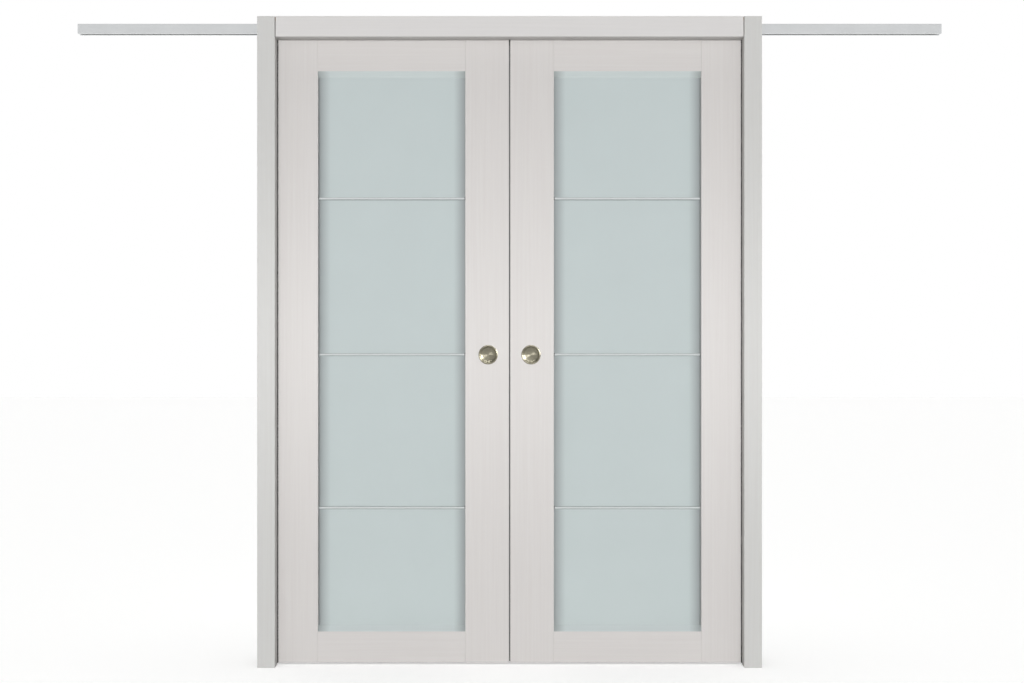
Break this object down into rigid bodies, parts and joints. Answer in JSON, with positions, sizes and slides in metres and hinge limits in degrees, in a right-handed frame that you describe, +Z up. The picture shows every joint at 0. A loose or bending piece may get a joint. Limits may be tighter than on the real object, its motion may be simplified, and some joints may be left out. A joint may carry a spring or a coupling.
{
  "type": "double pocket door",
  "caption": "White framed leaves with frosted glass, glazing bars and round cup pulls, hung from a top track, slide apart between split jambs into the wall; flat casings.",
  "frame": {"origin": "on the floor, at the middle of the doorway and of the wall's depth", "axes": "+X to the right seen from the front, +Y from the front of the wall to its back, +Z up"},
  "size_m": [2.807, 0.14, 2.091],
  "materials": {
    "white_laminate": "white wood-grain laminate, satin",
    "plywood": "sanded birch plywood",
    "beech": "bare beech",
    "frosted_glass": "acid-etched, pale grey-green",
    "anodised_aluminium": "satin anodised",
    "satin_nickel": "spun satin nickel",
    "zinc_plated_steel": "bright zinc plate",
    "nylon": "moulded, natural white",
    "black_rubber": "extruded, matt black",
    "grey_pile": "dense woven pile, dark grey"
  },
  "bodies": {
    "frame": {"left_casing_front": "white_laminate", "left_casing_back": "white_laminate", "right_casing_front": "white_laminate", "right_casing_back": "white_laminate", "head_casing_front": "white_laminate", "head_casing_back": "white_laminate", "left_jamb_front": "white_laminate", "left_jamb_back": "white_laminate", "right_jamb_front": "white_laminate", "right_jamb_back": "white_laminate", "head_jamb_front": "white_laminate", "head_jamb_back": "white_laminate", "head_board": "plywood", "track": "anodised_aluminium", "track_screws": "zinc_plated_steel", "track_stops": "black_rubber", "brush_seals": "grey_pile", "floor_guides": "nylon"},
    "left_leaf": {"left_outer_stile": "white_laminate", "left_meeting_stile": "white_laminate", "left_top_rail": "white_laminate", "left_bottom_rail": "white_laminate", "left_dowels": "beech", "left_bottom_pane": "frosted_glass", "left_lower_pane": "frosted_glass", "left_upper_pane": "frosted_glass", "left_top_pane": "frosted_glass", "left_glazing_bars": "anodised_aluminium", "left_pull_front": "satin_nickel", "left_pull_back": "satin_nickel", "left_meeting_seal": "black_rubber", "left_hanger_plates": "zinc_plated_steel", "left_hanger_fasteners": "zinc_plated_steel", "left_trolleys": "zinc_plated_steel", "left_axle_pins": "zinc_plated_steel"},
    "left_inner_lead_wheels": {"left_inner_lead_wheels": "nylon"},
    "left_inner_trail_wheels": {"left_inner_trail_wheels": "nylon"},
    "left_outer_lead_wheels": {"left_outer_lead_wheels": "nylon"},
    "left_outer_trail_wheels": {"left_outer_trail_wheels": "nylon"},
    "right_leaf": {"right_outer_stile": "white_laminate", "right_meeting_stile": "white_laminate", "right_top_rail": "white_laminate", "right_bottom_rail": "white_laminate", "right_dowels": "beech", "right_bottom_pane": "frosted_glass", "right_lower_pane": "frosted_glass", "right_upper_pane": "frosted_glass", "right_top_pane": "frosted_glass", "right_glazing_bars": "anodised_aluminium", "right_pull_front": "satin_nickel", "right_pull_back": "satin_nickel", "right_meeting_seal": "black_rubber", "right_hanger_plates": "zinc_plated_steel", "right_hanger_fasteners": "zinc_plated_steel", "right_trolleys": "zinc_plated_steel", "right_axle_pins": "zinc_plated_steel"},
    "right_inner_lead_wheels": {"right_inner_lead_wheels": "nylon"},
    "right_inner_trail_wheels": {"right_inner_trail_wheels": "nylon"},
    "right_outer_lead_wheels": {"right_outer_lead_wheels": "nylon"},
    "right_outer_trail_wheels": {"right_outer_trail_wheels": "nylon"}
  },
  "joints": [
    {"name": "left_leaf_slide", "type": "slide", "parent": "frame", "child": "left_leaf", "axis": [-1, 0, 0], "range_m": [0, 0.64]},
    {"name": "left_inner_lead_wheels_spin", "type": "hinge", "parent": "left_leaf", "child": "left_inner_lead_wheels", "pos_m": [-0.095, 0, 2.0599], "axis": [0, 1, 0], "continuous": true},
    {"name": "left_inner_trail_wheels_spin", "type": "hinge", "parent": "left_leaf", "child": "left_inner_trail_wheels", "pos_m": [-0.051, 0, 2.0599], "axis": [0, 1, 0], "continuous": true},
    {"name": "left_outer_lead_wheels_spin", "type": "hinge", "parent": "left_leaf", "child": "left_outer_lead_wheels", "pos_m": [-0.715, 0, 2.0599], "axis": [0, 1, 0], "continuous": true},
    {"name": "left_outer_trail_wheels_spin", "type": "hinge", "parent": "left_leaf", "child": "left_outer_trail_wheels", "pos_m": [-0.671, 0, 2.0599], "axis": [0, 1, 0], "continuous": true},
    {"name": "right_leaf_slide", "type": "slide", "parent": "frame", "child": "right_leaf", "axis": [1, 0, 0], "range_m": [0, 0.64]},
    {"name": "right_inner_lead_wheels_spin", "type": "hinge", "parent": "right_leaf", "child": "right_inner_lead_wheels", "pos_m": [0.095, 0, 2.0599], "axis": [0, 1, 0], "continuous": true},
    {"name": "right_inner_trail_wheels_spin", "type": "hinge", "parent": "right_leaf", "child": "right_inner_trail_wheels", "pos_m": [0.051, 0, 2.0599], "axis": [0, 1, 0], "continuous": true},
    {"name": "right_outer_lead_wheels_spin", "type": "hinge", "parent": "right_leaf", "child": "right_outer_lead_wheels", "pos_m": [0.715, 0, 2.0599], "axis": [0, 1, 0], "continuous": true},
    {"name": "right_outer_trail_wheels_spin", "type": "hinge", "parent": "right_leaf", "child": "right_outer_trail_wheels", "pos_m": [0.671, 0, 2.0599], "axis": [0, 1, 0], "continuous": true}
  ],
  "couplings": [
    {"joint": "left_inner_lead_wheels_spin", "follows": "left_leaf_slide", "rad_per_m": -105.26},
    {"joint": "left_inner_trail_wheels_spin", "follows": "left_leaf_slide", "rad_per_m": -105.26},
    {"joint": "left_outer_lead_wheels_spin", "follows": "left_leaf_slide", "rad_per_m": -105.26},
    {"joint": "left_outer_trail_wheels_spin", "follows": "left_leaf_slide", "rad_per_m": -105.26},
    {"joint": "right_inner_lead_wheels_spin", "follows": "right_leaf_slide", "rad_per_m": 105.26},
    {"joint": "right_inner_trail_wheels_spin", "follows": "right_leaf_slide", "rad_per_m": 105.26},
    {"joint": "right_outer_lead_wheels_spin", "follows": "right_leaf_slide", "rad_per_m": 105.26},
    {"joint": "right_outer_trail_wheels_spin", "follows": "right_leaf_slide", "rad_per_m": 105.26}
  ]
}
